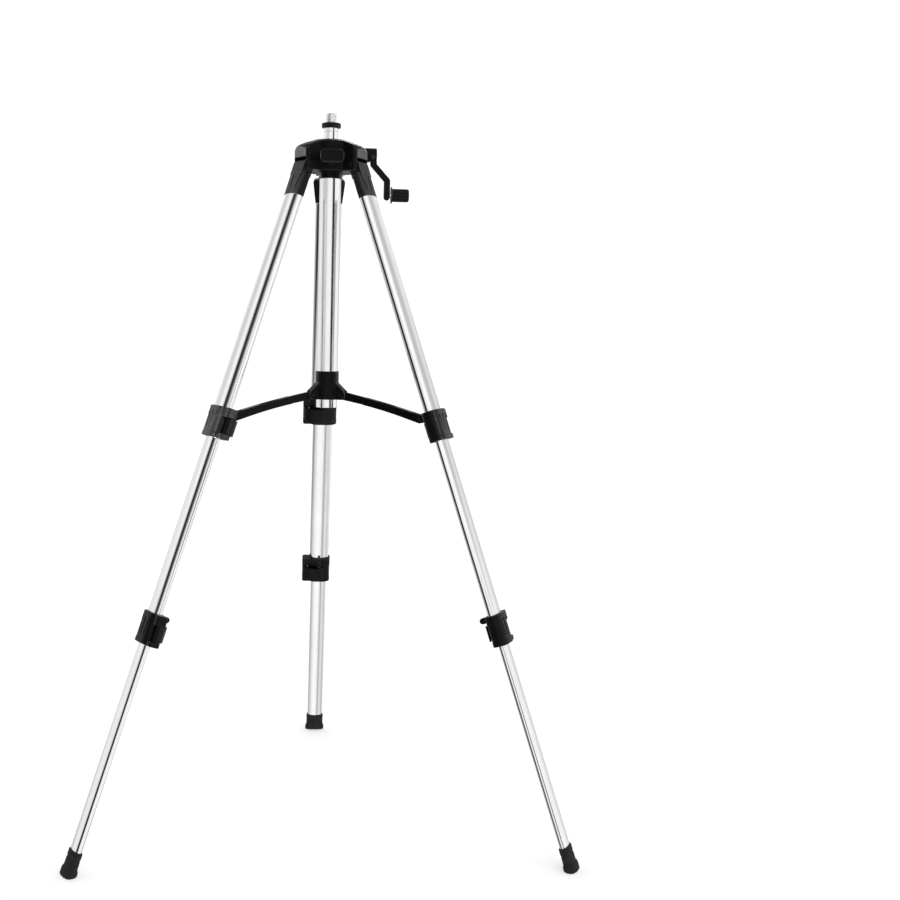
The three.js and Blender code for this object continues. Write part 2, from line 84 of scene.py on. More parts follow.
def leg_frame(number):
    """Origin on the hinge pin, x outward, y along the pin, z up the leg."""
    fold = JOINTS[f"leg_fold_{number}"]
    pin = Vector(fold["axis"])
    up = Vector(JOINTS[f"middle_slide_{number}"]["axis"])
    return placed(fold["pos_m"], pin.cross(up), pin, up)


def brace_frame(number):
    """Origin on the brace's pin at the leg, x away from the hub, y along the pin, z on the upper side."""
    turn = JOINTS[f"brace_arm_turn_{number}"]
    at_leg = Vector(turn["pos_m"])
    at_hub = joint_at(f"brace_link_turn_{number}")
    pin = Vector(turn["axis"])
    away = (at_leg - at_hub).normalized()
    return placed(at_leg, away, pin, away.cross(pin))


def upright_frame(number):
    """Origin on the column's axis at floor level, x towards one leg."""
    pin = Vector(JOINTS[f"leg_fold_{number}"]["axis"])
    up = Vector((0, 0, 1))
    return placed((AXIS.x, AXIS.y, 0), pin.cross(up), pin, up)


def extent(node, matrix=None):
    """A CAD node's lowest and highest corners in millimetres, on a frame's axes or the column's."""
    inverse = (matrix or COLUMN_FRAME).inverted()
    points = np.array([inverse @ vertex.co for vertex in frame["nodes"][node].data.vertices]) / MM
    return Vector(points.min(0)), Vector(points.max(0))


def centre_of(node):
    """The middle of a CAD node's box, in metres."""
    low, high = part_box(node)
    return (low + high) / 2


AXIS = centre_of("centre_tube")
COLUMN_FRAME = Matrix.Translation((AXIS.x, AXIS.y, 0))


# ---- outlines, as lists of points in millimetres ----
def circle(radius, steps=64, centre=(0, 0)):
    angles = [math.tau * i / steps for i in range(steps)]
    return [(centre[0] + radius * math.cos(a), centre[1] + radius * math.sin(a)) for a in angles]


def superellipse(depth, width, power=2.3, steps=96):
    """An oval, depth across x and width across y, squarer as the power grows."""
    points = []
    for i in range(steps):
        c, s = math.cos(math.tau * i / steps), math.sin(math.tau * i / steps)
        x = math.copysign(abs(c) ** (2 / power), c)
        y = math.copysign(abs(s) ** (2 / power), s)
        points.append((x * depth / 2, y * width / 2))
    return points


def arc(cx, cy, radius, start, end, steps=12):
    angles = [math.radians(start + (end - start) * i / steps) for i in range(steps + 1)]
    return [(cx + radius * math.cos(a), cy + radius * math.sin(a)) for a in angles]


def rounded_rectangle(x0, x1, y0, y1, radius, steps=8):
    return [
        *arc(x1 - radius, y1 - radius, radius, 0, 90, steps),
        *arc(x0 + radius, y1 - radius, radius, 90, 180, steps),
        *arc(x0 + radius, y0 + radius, radius, 180, 270, steps),
        *arc(x1 - radius, y0 + radius, radius, 270, 360, steps),
    ]


def rectangle(x0, x1, y0, y1):
    return [(x1, y1), (x0, y1), (x0, y0), (x1, y0)]


def signed_area(points):
    return sum(a[0] * b[1] - b[0] * a[1] for a, b in zip(points, points[1:] + points[:1])) / 2


def inset(outline, distance):
    """The outline moved inward by distance, with mitred corners."""
    if signed_area(outline) < 0:
        distance = -distance
    points = [Vector(point) for point in outline]
    moved = []
    for before, here, after in zip(points[-1:] + points[:-1], points, points[1:] + points[:1]):
        first = (here - before).normalized().orthogonal()
        second = (after - here).normalized().orthogonal()
        moved.append(here + (first + second) * distance / (1 + first.dot(second)))
    return [(point.x, point.y) for point in moved]


# ---- solids, as meshes in millimetres ----
ALONG = {
    "x": lambda a, b, height: (height, a, b),
    "y": lambda a, b, height: (a, height, b),
    "z": lambda a, b, height: (a, b, height),
}


def loft(rings, loop=False):
    """A skin through rings of equal point counts, closed by a cap at each end or, as a loop, on itself."""
    count = len(rings[0])
    verts = [point for ring in rings for point in ring]
    faces = []
    for i in range(len(rings) if loop else len(rings) - 1):
        here, there = i * count, (i + 1) % len(rings) * count
        for j in range(count):
            k = (j + 1) % count
            faces.append((here + j, here + k, there + k, there + j))
    if not loop:
        faces.append(tuple(reversed(range(count))))
        faces.append(tuple(range(len(verts) - count, len(verts))))
    mesh = bpy.data.meshes.new("solid")
    mesh.from_pydata(verts, [], faces)
    facing_out(mesh)
    return mesh


def facing_out(mesh):
    """Turns every face outward."""
    work = bmesh.new()
    work.from_mesh(mesh)
    bmesh.ops.recalc_face_normals(work, faces=work.faces)
    work.to_mesh(mesh)
    work.free()


def prism(outline, low, high, axis="z", edge=0.0, steps=4):
    """The outline extruded along an axis, with both rims rounded by edge."""
    if not edge:
        levels = [(low, 0.0), (high, 0.0)]
    else:
        turn = [math.pi / 2 * i / steps for i in range(steps + 1)]
        rim = [(edge * (1 - math.cos(t)), edge * (1 - math.sin(t))) for t in turn]
        levels = [(low + rise, side) for rise, side in rim]
        levels += [(high - rise, side) for rise, side in reversed(rim)]
    rings = []
    for height, side in levels:
        ring = inset(outline, side) if side else outline
        rings.append([ALONG[axis](a, b, height) for a, b in ring])
    return loft(rings)


def rod(radius, low, high, axis="z", centre=(0, 0), edge=0.0, steps=64):
    return prism(circle(radius, steps, centre), low, high, axis, edge)


def box(x0, x1, y0, y1, z0, z1):
    return prism(rectangle(x0, x1, y0, y1), z0, z1)


def turned(profile, steps=96, loop=False):
    """A profile of (radius, height) points turned round z."""
    return loft([[(a, b, z) for a, b in circle(radius, steps)] for radius, z in profile], loop)


def moved(mesh, matrix):
    mesh.transform(matrix)
    return mesh


def about_z(mesh, degrees):
    return moved(mesh, Matrix.Rotation(math.radians(degrees), 4, "Z"))


def new_object(name, data):
    thing = bpy.data.objects.new(name, data)
    bpy.context.scene.collection.objects.link(thing)
    return thing


def applied(thing):
    """The object's mesh with its modifiers; the object itself goes."""
    bpy.context.view_layer.update()
    graph = bpy.context.evaluated_depsgraph_get()
    mesh = bpy.data.meshes.new_from_object(thing.evaluated_get(graph))
    bpy.data.objects.remove(thing)
    return mesh


def boolean(body, tools, operation):
    for tool in tools:
        thing = new_object("body", body)
        other = new_object("tool", tool)
        modifier = thing.modifiers.new("boolean", "BOOLEAN")
        modifier.operation = operation
        modifier.solver = "MANIFOLD"
        modifier.object = other
        body = applied(thing)
        bpy.data.objects.remove(other)
    return body


def joined(*solids):
    return boolean(solids[0], solids[1:], "UNION")


def cut(body, *tools):
    return boolean(body, tools, "DIFFERENCE")


def common(body, *tools):
    return boolean(body, tools, "INTERSECT")


def moulded(mesh, voxel=0.45, rounds=3):
    """The solid with every edge and inner corner softened, as plastic comes out of a mould."""
    thing = new_object("moulded", mesh)
    remesh = thing.modifiers.new("remesh", "REMESH")
    remesh.mode = "VOXEL"
    remesh.voxel_size = voxel
    soften = thing.modifiers.new("soften", "SMOOTH")
    soften.factor = 0.5
    soften.iterations = rounds
    return applied(thing)


def stored(collection, attribute, columns, kind=float):
    """One attribute of every vertex or edge, as an array with a row for each."""
    values = np.empty(len(collection) * columns, kind)
    collection.foreach_get(attribute, values)
    return values.reshape(-1, columns)


EDGE_SPREAD_ROUNDS = 3
EDGE_GAIN = 6


def mark_edges(mesh):
    """Stores how far each point stands proud of its neighbours, which the materials use to paint edges
    lighter: partly wear, partly a painted highlight.
    """
    count = len(mesh.vertices)
    points = stored(mesh.vertices, "co", 3)
    normals = stored(mesh.vertices, "normal", 3)
    pairs = stored(mesh.edges, "vertices", 2, int)
    both_ways = (pairs.T, pairs.T[::-1])
    total = np.zeros((count, 3))
    number = np.zeros(count)
    for a, b in both_ways:
        np.add.at(total, a, points[b])
        np.add.at(number, a, 1)
    lengths = np.linalg.norm(points[pairs[:, 0]] - points[pairs[:, 1]], axis=1)
    proud = ((points - total / number[:, None]) * normals).sum(1) / lengths.mean()
    for _ in range(EDGE_SPREAD_ROUNDS):
        spread = np.zeros(count)
        for a, b in both_ways:
            np.add.at(spread, a, proud[b])
        proud = 0.5 * proud + 0.5 * spread / number
    layer = mesh.attributes.new("edge", "FLOAT", "POINT")
    layer.data.foreach_set("value", np.clip(proud * EDGE_GAIN, 0, 1).astype(np.float32))


def finished(mesh, material, sharp_angle=38):
    """Scales a mesh to metres, shades it smooth between sharp edges, and gives it its material."""
    mark_edges(mesh)
    mesh.transform(Matrix.Scale(MM, 4))
    mesh.shade_smooth()
    mesh.set_sharp_from_angle(angle=math.radians(sharp_angle))
    mesh.materials.clear()
    mesh.materials.append(material)
    return mesh


def put(node, mesh, place, body):
    """Puts the mesh that replaces a CAD node on the body that carries it."""
    piece = new_object(f"{node}_shape", mesh)
    piece.matrix_world = place
    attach(piece, body)
    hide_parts(node)


# ---- materials ----
def scaled(color, factor):
    return tuple(part * factor for part in color)


class Nodes:
    """A node tree, with short calls for the nodes that the finishes and the studio share."""

    def __init__(self, tree):
        self.nodes = tree.nodes
        self.links = tree.links

    def computed(self, operation, *values):
        """Mathematics on numbers or other nodes' outputs."""
        node = self.nodes.new("ShaderNodeMath")
        node.operation = operation
        for socket, value in zip(node.inputs, values):
            if isinstance(value, (int, float)):
                socket.default_value = value
            else:
                self.links.new(value, socket)
        return node.outputs["Value"]

    def ranged(self, value, from_low, from_high, to_low=0, to_high=1, curve="LINEAR"):
        """Value carried from one range to another."""
        node = self.nodes.new("ShaderNodeMapRange")
        node.interpolation_type = curve
        node.inputs["From Min"].default_value = from_low
        node.inputs["From Max"].default_value = from_high
        node.inputs["To Min"].default_value = to_low
        node.inputs["To Max"].default_value = to_high
        self.links.new(value, node.inputs["Value"])
        return node.outputs["Result"]

    def mixed(self, share, first, second):
        """Two colours mixed by share; each is a colour or another node's output."""
        node = self.nodes.new("ShaderNodeMix")
        node.data_type = "RGBA"
        self.links.new(share, node.inputs["Factor"])
        for socket, color in ((node.inputs[6], first), (node.inputs[7], second)):
            if isinstance(color, tuple):
                socket.default_value = (*color, 1)
            else:
                self.links.new(color, socket)
        return node.outputs[2]


class Look(Nodes):
    """A material's nodes round its shader."""

    def __init__(self, name, color, roughness, metallic=0.0, specular=0.5):
        self.material = bpy.data.materials.new(name)
        self.material.use_nodes = True
        super().__init__(self.material.node_tree)
        self.shader = self.nodes["Principled BSDF"]
        self.shader.inputs["Base Color"].default_value = (*color, 1)
        self.shader.inputs["Roughness"].default_value = roughness
        self.shader.inputs["Metallic"].default_value = metallic
        self.shader.inputs["Specular IOR Level"].default_value = specular
        self.place = self.nodes.new("ShaderNodeTexCoord").outputs["Object"]

    def noise(self, scale, detail=3.0, stretch=(1, 1, 1)):
        """Noise of so many cells a metre, drawn out along an axis where stretch is small."""
        mapping = self.nodes.new("ShaderNodeMapping")
        mapping.inputs["Scale"].default_value = stretch
        self.links.new(self.place, mapping.inputs["Vector"])
        node = self.nodes.new("ShaderNodeTexNoise")
        node.inputs["Scale"].default_value = scale
        node.inputs["Detail"].default_value = detail
        self.links.new(mapping.outputs["Vector"], node.inputs["Vector"])
        return node.outputs["Fac"]

    # Reads the stored edge attribute; edges painted lighter from it are partly wear, partly a painted
    # highlight.
    def edge_proudness(self):
        node = self.nodes.new("ShaderNodeAttribute")
        node.attribute_name = "edge"
        return node.outputs["Fac"]

    def bump(self, height, strength, depth):
        node = self.nodes.new("ShaderNodeBump")
        node.inputs["Strength"].default_value = strength
        node.inputs["Distance"].default_value = depth
        self.links.new(height, node.inputs["Height"])
        self.links.new(node.outputs["Normal"], self.shader.inputs["Normal"])

    def drive(self, socket, value):
        self.links.new(value, self.shader.inputs[socket])


def moulded_plastic(name, color, roughness, specular=0.1, grain=2600, grain_strength=0.16,
                    edge_highlight=2.4):
    """Moulded plastic: a fine spark-eroded grain, uneven sheen, and edges painted lighter, partly as rubbed
    wear and partly as a painted highlight along the rims.
    """
    look = Look(name, color, roughness, specular=specular)
    cloudy = look.noise(55, 4)
    dusty = look.mixed(look.ranged(cloudy, 0.35, 0.75, 0, 0.45), color, scaled(color, 1.6))
    # Proud edges are painted lighter: partly rubbed wear, partly a painted highlight along the rims.
    lit_and_worn_edges = look.ranged(look.edge_proudness(), 0.15, 0.9, 0, 0.7)
    look.drive("Base Color", look.mixed(lit_and_worn_edges, dusty, scaled(color, edge_highlight)))
    fine = look.noise(grain, 2)
    sheen = look.ranged(cloudy, 0.3, 0.7, roughness - 0.06, roughness + 0.08)
    look.drive("Roughness", look.computed("ADD", sheen, look.ranged(fine, 0, 1, -0.03, 0.03)))
    look.bump(fine, grain_strength, 0.00012)
    return look.material


def drawn_aluminium(name, color, roughness, line_strength=0.05):
    """Anodised tube: faint die lines along it and a sheen that wanders slowly."""
    look = Look(name, color, roughness, metallic=1.0)
    lines = look.noise(1500, 3, stretch=(1, 1, 0.004))
    patches = look.noise(22, 3)
    darker = look.ranged(patches, 0.3, 0.7, 0, 0.6)
    look.drive("Base Color", look.mixed(darker, color, scaled(color, 0.93)))
    sheen = look.ranged(patches, 0.3, 0.7, roughness - 0.03, roughness + 0.04)
    look.drive("Roughness", look.computed("ADD", sheen, look.ranged(lines, 0.2, 0.8, -0.035, 0.035)))
    look.bump(lines, line_strength, 0.00004)
    return look.material


def turned_steel(name, color, roughness):
    """Bright turned steel with fine rings round its axis."""
    look = Look(name, color, roughness, metallic=1.0)
    rings = look.noise(1200, 2, stretch=(0.02, 0.02, 1))
    smudges = look.noise(180, 3)
    sheen = look.ranged(smudges, 0.3, 0.7, roughness - 0.05, roughness + 0.1)
    look.drive("Roughness", look.computed("ADD", sheen, look.ranged(rings, 0.3, 0.7, -0.03, 0.03)))
    look.drive("Base Color", look.mixed(look.ranged(smudges, 0.4, 0.8, 0, 0.4), color, (0.7, 0.7, 0.7)))
    look.bump(rings, 0.08, 0.00004)
    return look.material


def moulded_rubber(name, color):
    """Soft black rubber with a dull, slightly dusty skin."""
    look = Look(name, color, 0.8, specular=0.25)
    fine = look.noise(1700, 4)
    dust = look.noise(120, 5)
    greyer = tuple(part * 2.6 + 0.008 for part in color)
    look.drive("Base Color", look.mixed(look.ranged(dust, 0.45, 0.8, 0, 0.7), color, greyer))
    look.drive("Roughness", look.ranged(dust, 0.3, 0.7, 0.7, 0.88))
    look.bump(fine, 0.3, 0.00015)
    return look.material


def natural_nylon(name, color):
    """Unpainted nylon, a little cloudy."""
    look = Look(name, color, 0.5, specular=0.45)
    haze = look.noise(300, 3)
    look.drive("Base Color", look.mixed(look.ranged(haze, 0.35, 0.7, 0, 1), color, scaled(color, 0.9)))
    look.drive("Roughness", look.ranged(haze, 0.3, 0.7, 0.42, 0.6))
    look.bump(haze, 0.1, 0.0001)
    return look.material


def floor_finish():
    """Matt white paper, lit a little from within, that thins out to nothing at its rim."""
    look = Look("studio_floor", (0.86, 0.86, 0.86), 0.85, specular=0.2)
    paper = look.noise(30, 4)
    look.drive("Roughness", look.ranged(paper, 0.3, 0.7, 0.8, 0.9))
    look.shader.inputs["Emission Color"].default_value = (1, 1, 1, 1)
    look.shader.inputs["Emission Strength"].default_value = 0.46
    reach = look.nodes.new("ShaderNodeVectorMath")
    reach.operation = "LENGTH"
    look.links.new(look.place, reach.inputs[0])
    look.drive("Alpha", look.ranged(reach.outputs["Value"], 1.2, 2.8, 1, 0))
    return look.material


ALUMINIUM = drawn_aluminium("satin_aluminium", (0.92, 0.922, 0.93), 0.13)
BRIGHT_ALUMINIUM = drawn_aluminium("bright_aluminium", (0.94, 0.94, 0.945), 0.1)
STEEL = turned_steel("turned_steel", (0.94, 0.94, 0.94), 0.14)
BLACK = (0.004, 0.00405, 0.0043)
BLACK_STEEL = moulded_plastic("black_steel", (0.005, 0.005, 0.0055), 0.3, 0.16, 3000, 0.08)
# The casting, knob and lower locks are the same black plastic as the rest; their larger edge factors paint
# highlights on their rims, bezel and grooves, so the lower locks' material is a lit copy of the lock
# plastic.
CASTING = moulded_plastic("casting_plastic", BLACK, 0.4, edge_highlight=8)
LOCKS = moulded_plastic("lock_plastic", BLACK, 0.38, 0.14)
KNOB = moulded_plastic("knob_plastic", BLACK, 0.4, edge_highlight=22)
EDGE_LIT_LOCKS = moulded_plastic("lower_lock_plastic", BLACK, 0.38, 0.14, edge_highlight=14)
DARK = moulded_plastic("dark_plastic", (0.003, 0.00305, 0.0033), 0.34, 0.12, 3400, 0.1)
GRIP = moulded_plastic("grip_plastic", (0.004, 0.004, 0.0043), 0.4, 0.12)
RUBBER = moulded_rubber("foot_rubber", (0.014, 0.014, 0.0145))
NYLON = natural_nylon("natural_nylon", (0.79, 0.76, 0.69))


# ---- leg pieces ----
TUBE_POWER = 2.3
WALLS = {"upper": 1.5, "middle": 1.3, "lower": 1.2}
CLEARANCE = 0.3


def tube_section(low, high, edge, outer, inner, bore):
    """A tube's section as (how far in, height), with rims at outer and inner."""
    return [
        (outer, low), (0, low + edge), (0, high - edge), (outer, high),
        (inner, high), (bore, high - edge), (bore, low + edge), (inner, low),
    ]


def oval_tube(section, wall):
    """A leg's drawn oval tube the size of its CAD node, open at both ends, with broken edges."""
    low, high = extent(f"leg_1_{section}_tube", leg_frame(1))
    depth, width = high.x - low.x, high.y - low.y
    edge = 0.35
    rings = []
    for less, z in tube_section(low.z, high.z, edge, 2 * edge, 2 * wall - edge, 2 * wall):
        rings.append([(a, b, z) for a, b in superellipse(depth - less, width - less, TUBE_POWER, 128)])
    return loft(rings, loop=True)


def on_oval(width, depth, power):
    """How far out an oval's face lies at each place across its width."""
    return lambda y: depth / 2 * (1 - abs(2 * y / width) ** power) ** (1 / power)


def converging_grooves(face, top, length, reach, draw, widths, sink=1.2):
    """Three slots on a curved outer face, which narrow and draw together towards their lower ends."""
    slots = []
    for side in (-1, 0, 1):
        start, end = side * reach, side * (reach - draw)
        high = Vector((face(start), start, top))
        low = Vector((face(end), end, top - length))
        along = (high - low).normalized()
        middle = (start + end) / 2
        slope = face(middle + 0.5) - face(middle - 0.5)
        across = along.cross(Vector((1, -slope, 0))).normalized()
        wide, narrow = widths[0] / 2, widths[1] / 2
        outline = [*arc(0, 0, wide, 0, 180, 8), *arc(0, wide + narrow - length, narrow, 180, 360, 8)]
        slot = prism(outline, -sink, 8, "x")
        slots.append(moved(slot, placed(high, across.cross(along), across, along)))
    return slots


BLOCK_POWER = 1.8
TONGUE_RADIUS = 8.5
TONGUE_HALF = 16.5


def leg_block():
    """The plastic block that hinges the leg: a tongue, wide shoulders, and a plug inside the tube."""
    low, high = extent("leg_1_block", leg_frame(1))
    plug_end = low.z
    bottom = plug_end + 18
    face, shoulder = high.x, high.y
    width, depth = 2 * shoulder + 0.8, 2 * face
    neck = -18
    half = tube_size("upper")[1] / 2 + 0.4
    round_end = [(-TONGUE_RADIUS, neck), (TONGUE_RADIUS, neck), *arc(0, 0, TONGUE_RADIUS, 0, 180, 24)]
    tongue = prism(round_end, -TONGUE_HALF, TONGUE_HALF, "y", 0.6)
    front = [
        (-half, bottom), (half, bottom), (shoulder, neck), (shoulder - 0.4, neck + 3.5),
        (shoulder - 3.1, -12), (3.1 - shoulder, -12), (0.4 - shoulder, neck + 3.5), (-shoulder, neck),
    ]
    plan = prism(superellipse(depth, width, BLOCK_POWER), bottom - 1, -11)
    shell = common(prism(front, -depth, depth, "x"), plan)
    plug = prism(tube_outline("upper", -WALLS["upper"] - CLEARANCE), plug_end, bottom + 1)
    grooves = converging_grooves(on_oval(width, depth, BLOCK_POWER), neck - 3, 22, 16.5, 6.5, (5, 1.6))
    bore = rod(3.2, -30, 30, "y")
    return cut(moulded(cut(joined(shell, tongue, plug), bore)), *grooves)


def lock_sizes(which):
    """The driving sizes of a flip lock, read from its CAD node and its lever's hinge."""
    matrix = leg_frame(1)
    low, high = extent(f"leg_1_{which}_lock", matrix)
    hinge = matrix.inverted() @ joint_at(f"{which}_lever_turn_1") / MM
    enters, leaves = ("upper", "middle") if which == "upper" else ("middle", "lower")
    return {
        "top": high.z, "bottom": low.z, "depth": 2 * high.x, "width": -2 * low.y,
        "lug": low.x + LUG_RADIUS, "lug_z": high.z - 6, "barrel_x": hinge.x, "barrel_y": hinge.y,
        "enters": tube_outline(enters, CLEARANCE), "leaves": tube_outline(leaves, CLEARANCE),
    }


def tube_size(which):
    """How deep and how wide a leg's tube is."""
    low, high = extent(f"leg_1_{which}_tube", leg_frame(1))
    return high.x - low.x, high.y - low.y


def tube_outline(which, gap):
    """The outline of a leg's tube, let out by a gap all round."""
    return superellipse(*[side + 2 * gap for side in tube_size(which)], TUBE_POWER)


TOP_BAND = 14
BOTTOM_BAND = 7.5
SOCKET = 17.5
LOCK_POWER = 3.2
LUG_RADIUS = 4.5
BRACE_BORE = 2.5


def lock_body(which):
    """The oval housing, the lever's two hinge bands with a web between, and the lug."""
    size = lock_sizes(which)
    top, bottom = size["top"], size["bottom"]
    depth, width = size["depth"], size["width"]
    barrel = size["barrel_y"]
    waist = 0.8
    rings = []
    for z, less in (
            (bottom, 0.8), (bottom + 0.5, 0), (bottom + 6, 0), (bottom + 7, waist),
            (top - 14.5, waist), (top - 13.5, 0), (top - 0.5, 0), (top, 0.8)):
        rings.append([(a, b, z) for a, b in superellipse(depth - less, width - less, LOCK_POWER)])
    shell = loft(rings)
    housing = rounded_rectangle(-9.5, 7.5, 8, barrel + 4.9, 4.2)
    top_band = prism(housing, top - TOP_BAND, top, edge=0.6)
    web_x = size["barrel_x"]
    web = box(web_x - 1.2, web_x + 1.2, 7, barrel - 4.65, bottom + 5, top - TOP_BAND + 1)
    bottom_band = prism(housing, bottom, bottom + BOTTOM_BAND, edge=0.9)
    lug_outline = [(-5, size["lug_z"] - LUG_RADIUS), (-5, size["lug_z"] + LUG_RADIUS),
                   *arc(size["lug"], size["lug_z"], LUG_RADIUS, 90, 270, 16)]
    lug = prism(lug_outline, -3, 3, "y", 0.5)
    body = joined(shell, top_band, web, bottom_band, lug)
    tools = [
        prism(size["enters"], top - SOCKET, top + 1),
        prism(size["leaves"], bottom - 1, top - SOCKET + 1),
        rod(2.3, bottom + 2.5, top - 6, "z", (size["barrel_x"], barrel)),
    ]
    if which == "upper":
        tools.append(rod(BRACE_BORE, -10, 10, "y", (size["lug"], size["lug_z"])))
    grooves = converging_grooves(on_oval(width, depth, LOCK_POWER), top - 9, 26, 11, 4, (3.4, 1.8))
    return moulded(cut(body, *tools, *grooves), 0.42)


def lock_lever(which):
    """The cam lever: a barrel on its hinge and a flap that wraps the inner side of the lock."""
    size = lock_sizes(which)
    top = size["top"] - TOP_BAND - CLEARANCE
    bottom = size["bottom"] + BOTTOM_BAND + CLEARANCE
    by, deep = size["barrel_y"], size["depth"] / 2
    outline = [
        (-2, by + 4.4), (-7, by + 4), (-deep + 0.5, by + 0.5), (-deep - 4.5, by - 6), (-deep - 7.4, by - 14),
        (-deep - 7.6, by - 21), (-deep - 6.2, by - 28), (-deep - 4.2, by - 32), (-deep - 2.6, by - 31),
        (-deep - 4, by - 27), (-deep - 4.8, by - 21), (-deep - 4.4, by - 14.5), (-deep - 2, by - 8.5),
        (-deep + 1.5, by - 3.8), (-7.2, by - 1.6), (-4, by - 2.5),
    ]
    flap = prism(smooth_outline(outline), bottom, top, "z", 0.4)
    barrel = rod(4.4, bottom, top, "z", (size["barrel_x"], by), 0.5)
    trunnion = rod(2, bottom - 4, top + 6, "z", (size["barrel_x"], by))
    return moulded(joined(flap, barrel, trunnion), 0.4)


def smooth_outline(points, steps=5):
    """A closed Catmull-Rom curve through the points."""
    curve = []
    count = len(points)
    for i in range(count):
        p0, p1, p2, p3 = (Vector(points[(i + k) % count]) for k in (-1, 0, 1, 2))
        for step in range(steps):
            t = step / steps
            point = 0.5 * (2 * p1 + (p2 - p0) * t + (2 * p0 - 5 * p1 + 4 * p2 - p3) * t * t
                           + (3 * p1 - p0 - 3 * p2 + p3) * t ** 3)
            curve.append((point.x, point.y))
    return curve


def foot():
    """A rubber sleeve with a ring groove and a flared lip, cut level for the floor."""
    matrix = leg_frame(1)
    low, high = extent("leg_1_foot", matrix)
    slope = matrix.to_3x3() @ Vector((1, 0, 0))
    lean = math.asin(slope.z)
    sole = -matrix.translation.z / MM / math.cos(lean)
    top = high.z
    lip_depth, lip_width = 19.0, high.y - low.y
    sleeve_depth, sleeve_width = 15.6, 31
    profile = [
        (0, 1.6), (0.7, 0.6), (1.8, 0), (9.5, 0), (10.2, 0.45), (10.8, 0.9), (11.6, 0.9), (12.3, 0.45),
        (13.2, 0.1), (22.5, 0), (24.6, -0.3),
    ]
    rings = []
    for drop, less in profile:
        ring = superellipse(sleeve_depth - 2 * less, sleeve_width - 2 * less, 2.4)
        rings.append([(a, b, top - drop) for a, b in ring])
    for drop, flare in ((26.2, 0.55), (27.6, 0.9), (31, 1.0)):
        size = (sleeve_depth + (lip_depth - sleeve_depth) * flare,
                sleeve_width + (lip_width - sleeve_width) * flare)
        rings.append([(a, b, top - drop) for a, b in superellipse(*size, 2.5)])
    for lift, less in ((1.3, 0), (0.4, 0.5), (0, 1.6)):
        ring = superellipse(lip_depth - less, lip_width - less, 2.5)
        rings.append([(a, b, sole - a * math.tan(lean) + lift) for a, b in ring])
    body = loft(rings)
    socket = prism(superellipse(12.6, 27.6, TUBE_POWER), -1060, top + 1)
    treads = []
    for offset in (-9, -3, 3, 9):
        tread = box(-12, 12, offset - 0.9, offset + 0.9, -1.1, 1.2)
        tread.transform(Matrix.Translation((0, 0, sole)) @ Matrix.Rotation(lean, 4, "Y"))
        treads.append(tread)
    return moulded(cut(body, socket, *treads))


# ---- spreader ----
ARM_HALF = 5.9
FORK_HALF = 3.4
LINK_HALF = 3.0
BRACE_LENGTH = -(brace_frame(1).inverted() @ joint_at("brace_link_turn_1")).x / MM


def brace_edges(start, end, steps=24):
    """Upper and lower edges of the bowed brace between two distances from the leg's pin."""
    upper, lower = [], []
    for i in range(steps + 1):
        t = start + (end - start) * i / steps
        bow = math.sin(math.pi * t / BRACE_LENGTH)
        upper.append((-t, 6.2 + 1.4 * bow))
        lower.append((-t, -6.4 + 2.8 * bow))
    return upper, lower


def brace_arm():
    """The outer part of the brace, forked round the lock's lug and round the link."""
    upper, lower = brace_edges(0, BRACE_LENGTH - 38)
    outline = [*reversed(upper), *arc(0, 0, 6.3, 80, -80, 16), *lower]
    body = prism(outline, -ARM_HALF, ARM_HALF, "y", 0.9)
    bore = rod(BRACE_BORE, -10, 10, "y")
    fork_at_leg = prism(rounded_rectangle(-14, 12, -FORK_HALF, FORK_HALF, 1.5), -20, 20)
    slot_at_hub = rounded_rectangle(-BRACE_LENGTH - 5, 90 - BRACE_LENGTH, -FORK_HALF, FORK_HALF, 1.5)
    fork_at_hub = prism(slot_at_hub, -20, 20)
    return moulded(cut(body, bore, fork_at_leg, fork_at_hub))


def brace_link():
    """The inner end of the brace, which lies in the arm's fork and in the hub's ear."""
    upper, lower = brace_edges(BRACE_LENGTH - 60, BRACE_LENGTH)
    outline = [*upper, *arc(-BRACE_LENGTH, 0, 6.2, 100, 260, 16), *reversed(lower)]
    body = prism(outline, -LINK_HALF, LINK_HALF, "y", 0.7)
    return moulded(cut(body, rod(BRACE_BORE, -10, 10, "y", (-BRACE_LENGTH, 0))))


def spreader_hub():
    """The sliding sleeve with three forked ears."""
    low, high = extent("spreader_hub")
    pivot = upright_frame(1).inverted() @ joint_at("brace_link_turn_1") / MM
    bottom, top = low.z, high.z
    shoulder = top - 19.5
    outer, core = 17.8, 19.8
    bore = 16.45
    sleeve = turned([
        (core - 0.6, bottom), (core, bottom + 0.6), (core, shoulder - 3), (outer, shoulder),
        (outer, top - 1), (outer - 0.7, top),
    ])
    tools = [rod(bore, bottom - 5, top + 5, steps=96)]
    ears = []
    for azimuth in leg_azimuths():
        ear = [
            (15, bottom), *arc(pivot.x, pivot.z, pivot.z - bottom, -90, 35, 16),
            (pivot.x + 5, pivot.z + 6.5), (pivot.x + 2, pivot.z + 8.8), (16.8, shoulder + 2.5),
            (15, shoulder + 2),
        ]
        ears.append(about_z(prism(ear, -6.5, 6.5, "y", 0.7), azimuth))
        slot = box(20.2, 50, -FORK_HALF, FORK_HALF, bottom - 5, pivot.z + 7)
        tools.append(about_z(slot, azimuth))
        tools.append(about_z(rod(BRACE_BORE, -10, 10, "y", (pivot.x, pivot.z)), azimuth))
    return moulded(cut(joined(sleeve, *ears), *tools), rounds=4)


def leg_azimuths():
    """Each leg's bearing round the column, in degrees."""
    bearings = []
    for number in LEGS:
        hinge = joint_at(f"leg_fold_{number}") - AXIS
        bearings.append(math.degrees(math.atan2(hinge.y, hinge.x)))
    return bearings


# ---- head ----
HEAD_RADIUS = 37.5
YOKE_REACH = 53
YOKE_HALF = 21


